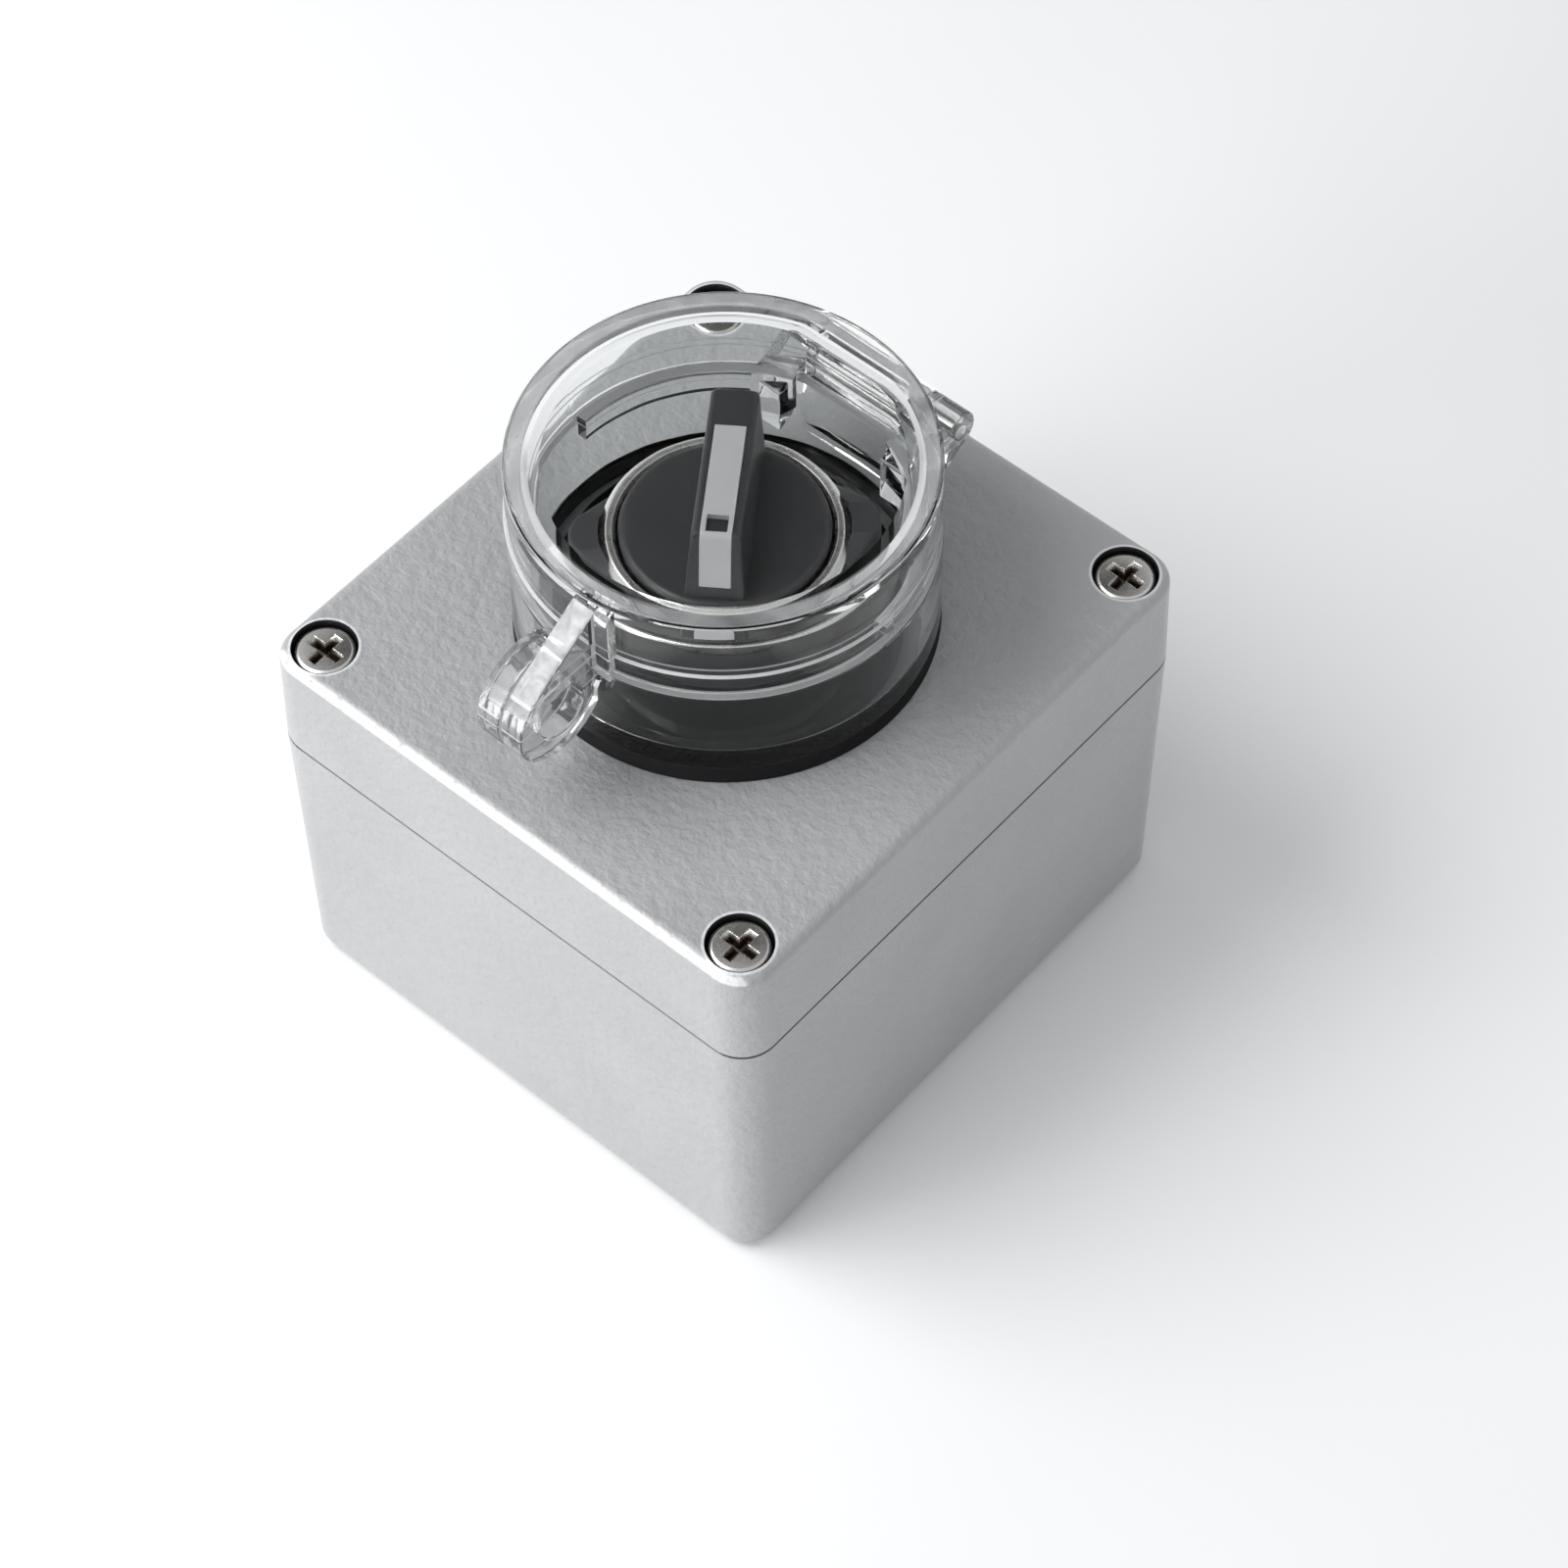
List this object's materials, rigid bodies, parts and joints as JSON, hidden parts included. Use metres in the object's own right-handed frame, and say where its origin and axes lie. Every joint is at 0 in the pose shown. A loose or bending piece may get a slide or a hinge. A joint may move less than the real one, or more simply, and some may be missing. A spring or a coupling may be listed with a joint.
{
  "type": "explosion-proof control box with selector switch",
  "caption": "Drafted metal box with a screwed lid and a selector knob under a round clear cover that hinges up and locks shut with a padlock.",
  "frame": {"origin": "centre of the box's flat back, the face that lies on the wall", "axes": "+Z out of the wall, towards the knob; +Y towards the cover's hinge, -Y towards the padlock ears; +X across the box, the longer side of the box runs along Y; the cable entry is in the -X wall"},
  "size_m": [0.075, 0.08, 0.086],
  "materials": {
    "coated_aluminium": "light grey hammered powder coat over die-cast aluminium",
    "black_rubber": "matt black",
    "stainless_screw": "turned stainless",
    "plated_steel": "zinc plated",
    "black_plastic": "fine matt black",
    "grey_insert": "smooth light grey",
    "bright_bezel": "polished bright metal",
    "clear_plastic": "clear polycarbonate",
    "brass_nut": "nickel plated brass",
    "block_plastic": "dark grey moulded",
    "contact_metal": "bright brass"
  },
  "bodies": {
    "enclosure": {"enclosure_base": "coated_aluminium", "enclosure_lid": "coated_aluminium", "lid_gasket": "black_rubber", "lid_screws": "stainless_screw", "lid_screw_washers": "black_rubber", "earth_saddle": "plated_steel", "earth_screw": "plated_steel", "operator_body": "black_plastic", "shaft_seal": "black_rubber", "wing_collar": "black_plastic", "bezel_ring": "bright_bezel", "fixing_nut": "brass_nut", "block_holder": "block_plastic", "clamp_screws": "plated_steel", "contact_housing_off": "block_plastic", "contact_housing_on": "block_plastic", "contact_cover_off": "block_plastic", "contact_cover_on": "block_plastic", "fixed_contacts_off": "contact_metal", "fixed_contacts_on": "contact_metal", "terminal_screws_off": "plated_steel", "terminal_screws_on": "plated_steel", "return_spring_off": "plated_steel", "return_spring_on": "plated_steel", "cover_gasket": "black_rubber", "cover_base": "clear_plastic", "cover_hinge_pin": "stainless_screw"},
    "cover": {"cover_lid": "clear_plastic", "cover_window": "clear_plastic", "padlock_hasp": "clear_plastic"},
    "knob": {"selector_knob": "black_plastic", "knob_insert": "grey_insert", "cam_shaft": "black_plastic"},
    "off_plunger": {"plunger_off": "black_plastic", "contact_bridge_off": "contact_metal"},
    "on_plunger": {"plunger_on": "black_plastic", "contact_bridge_on": "contact_metal"}
  },
  "joints": [
    {"name": "cover_hinge", "type": "hinge", "parent": "enclosure", "child": "cover", "pos_m": [0, 0.0271, 0.0752], "axis": [-1, 0, 0], "range_deg": [0, 115]},
    {"name": "knob_turn", "type": "hinge", "parent": "enclosure", "child": "knob", "pos_m": [0, 0, 0.0702], "axis": [0, 0, 1], "range_deg": [0, 90]},
    {"name": "off_plunger_slide", "type": "slide", "parent": "enclosure", "child": "off_plunger", "axis": [0, 0, -1], "range_m": [-0.003, 0], "deforming": ["return_spring_off"]},
    {"name": "on_plunger_slide", "type": "slide", "parent": "enclosure", "child": "on_plunger", "axis": [0, 0, -1], "range_m": [0, 0.003], "deforming": ["return_spring_on"]}
  ],
  "couplings": [
    {"joint": "off_plunger_slide", "follows": "knob_turn", "m_per_rad": -0.0019099},
    {"joint": "on_plunger_slide", "follows": "knob_turn", "m_per_rad": 0.0019099}
  ]
}
